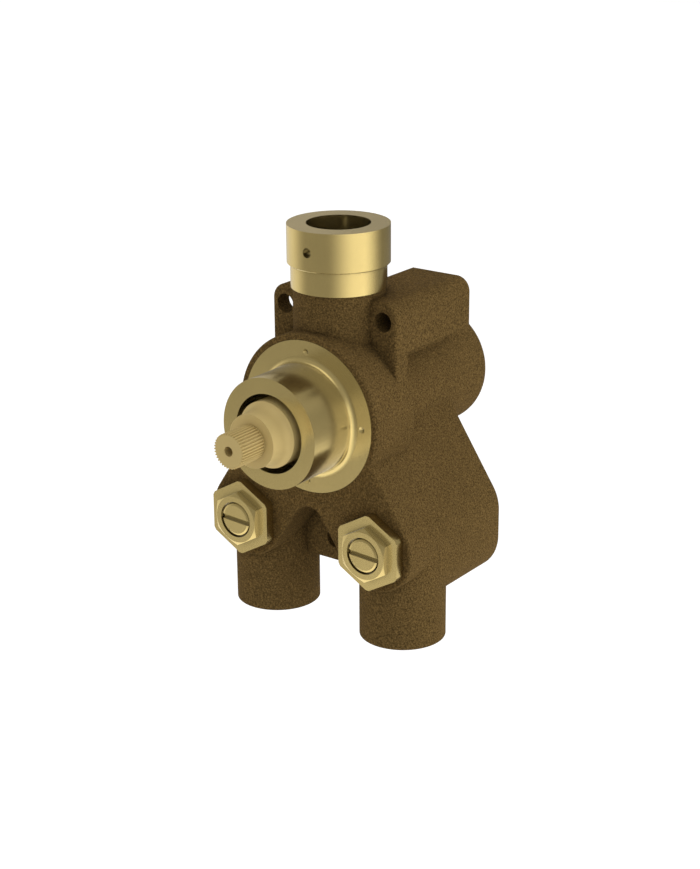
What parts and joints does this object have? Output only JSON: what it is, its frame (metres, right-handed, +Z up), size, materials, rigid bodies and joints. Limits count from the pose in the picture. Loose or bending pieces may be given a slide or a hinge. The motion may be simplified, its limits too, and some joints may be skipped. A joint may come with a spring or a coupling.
{
  "type": "concealed thermostatic shower mixer",
  "caption": "Cast recessed shower mixer body with a splined temperature spindle, screwdriver stop valves at both inlets and an outlet collar on top.",
  "frame": {"origin": "centre of the outlet's mouth, at the top of the collar", "axes": "+X right as seen from the spindle's side, +Y back into the wall along the spindle, +Z up along the outlet"},
  "size_m": [0.0878, 0.128, 0.146],
  "materials": {
    "cast_bronze": "rough sand-cast",
    "machined_brass": "satin machined",
    "element_copper": "satin",
    "black_rubber": "matte",
    "spring_steel": "satin",
    "white_plastic": "matte"
  },
  "bodies": {
    "mixer_body": {"valve_body": "cast_bronze", "outlet_collar": "machined_brass", "collar_oring": "black_rubber", "bonnet": "machined_brass", "bonnet_oring": "black_rubber", "cartridge_sleeve": "white_plastic", "sleeve_orings": "black_rubber", "cartridge_head": "machined_brass", "thrust_washer": "spring_steel", "spindle_clip": "spring_steel", "hot_seat": "spring_steel", "cold_seat": "spring_steel", "cartridge_cap": "machined_brass", "return_spring": "spring_steel", "left_stop_nut": "machined_brass", "left_nut_oring": "black_rubber", "left_stop_guide": "machined_brass", "left_strainer": "spring_steel", "left_check_body": "white_plastic", "left_check_oring": "black_rubber", "left_check_clip": "spring_steel", "left_check_guide": "white_plastic", "left_check_spring": "spring_steel", "right_stop_nut": "machined_brass", "right_nut_oring": "black_rubber", "right_stop_guide": "machined_brass", "right_strainer": "spring_steel", "right_check_body": "white_plastic", "right_check_oring": "black_rubber", "right_check_clip": "spring_steel", "right_check_guide": "white_plastic", "right_check_spring": "spring_steel"},
    "temperature_spindle": {"temperature_spindle": "machined_brass", "spindle_orings": "black_rubber"},
    "regulator": {"drive_nut": "machined_brass", "overload_spring": "spring_steel", "overload_plunger": "machined_brass", "plunger_clip": "spring_steel"},
    "shuttle": {"wax_element": "element_copper", "mixing_shuttle": "white_plastic", "shuttle_oring": "black_rubber"},
    "left_stop_screw": {"left_stop_screw": "machined_brass", "left_screw_oring": "black_rubber"},
    "left_stop_plunger": {"left_stop_plunger": "machined_brass", "left_stop_washer": "black_rubber"},
    "left_check_poppet": {"left_check_poppet": "white_plastic", "left_check_seal": "black_rubber"},
    "right_stop_screw": {"right_stop_screw": "machined_brass", "right_screw_oring": "black_rubber"},
    "right_stop_plunger": {"right_stop_plunger": "machined_brass", "right_stop_washer": "black_rubber"},
    "right_check_poppet": {"right_check_poppet": "white_plastic", "right_check_seal": "black_rubber"}
  },
  "joints": [
    {"name": "temperature_turn", "type": "hinge", "parent": "mixer_body", "child": "temperature_spindle", "pos_m": [0, -0.0556, -0.0652], "axis": [0, 1, 0], "range_deg": [-150, 150]},
    {"name": "regulator_slide", "type": "slide", "parent": "mixer_body", "child": "regulator", "axis": [0, 1, 0], "range_m": [-0.00083, 0.00083]},
    {"name": "shuttle_slide", "type": "slide", "parent": "mixer_body", "child": "shuttle", "axis": [0, 1, 0], "range_m": [-0.00083, 0.00083], "deforming": ["return_spring"]},
    {"name": "left_stop_turn", "type": "hinge", "parent": "mixer_body", "child": "left_stop_screw", "pos_m": [-0.0283, -0.02, -0.1082], "axis": [0, 1, 0], "range_deg": [0, 690]},
    {"name": "left_stop_slide", "type": "slide", "parent": "mixer_body", "child": "left_stop_plunger", "axis": [0, 1, 0], "range_m": [0, 0.00287]},
    {"name": "left_check_lift", "type": "slide", "parent": "mixer_body", "child": "left_check_poppet", "axis": [0, 0, 1], "range_m": [0, 0.0025], "stiffness_N_per_m": 60, "springref_m": -0.002, "deforming": ["left_check_spring"]},
    {"name": "right_stop_turn", "type": "hinge", "parent": "mixer_body", "child": "right_stop_screw", "pos_m": [0.0283, -0.02, -0.1082], "axis": [0, 1, 0], "range_deg": [0, 690]},
    {"name": "right_stop_slide", "type": "slide", "parent": "mixer_body", "child": "right_stop_plunger", "axis": [0, 1, 0], "range_m": [0, 0.00287]},
    {"name": "right_check_lift", "type": "slide", "parent": "mixer_body", "child": "right_check_poppet", "axis": [0, 0, 1], "range_m": [0, 0.0025], "stiffness_N_per_m": 60, "springref_m": -0.002, "deforming": ["right_check_spring"]}
  ],
  "couplings": [
    {"joint": "temperature_turn", "follows": "regulator_slide", "rad_per_m": -3141.6},
    {"joint": "shuttle_slide", "follows": "regulator_slide", "ratio": 1},
    {"joint": "left_stop_turn", "follows": "left_stop_slide", "rad_per_m": 4188.8},
    {"joint": "right_stop_turn", "follows": "right_stop_slide", "rad_per_m": 4188.8}
  ]
}
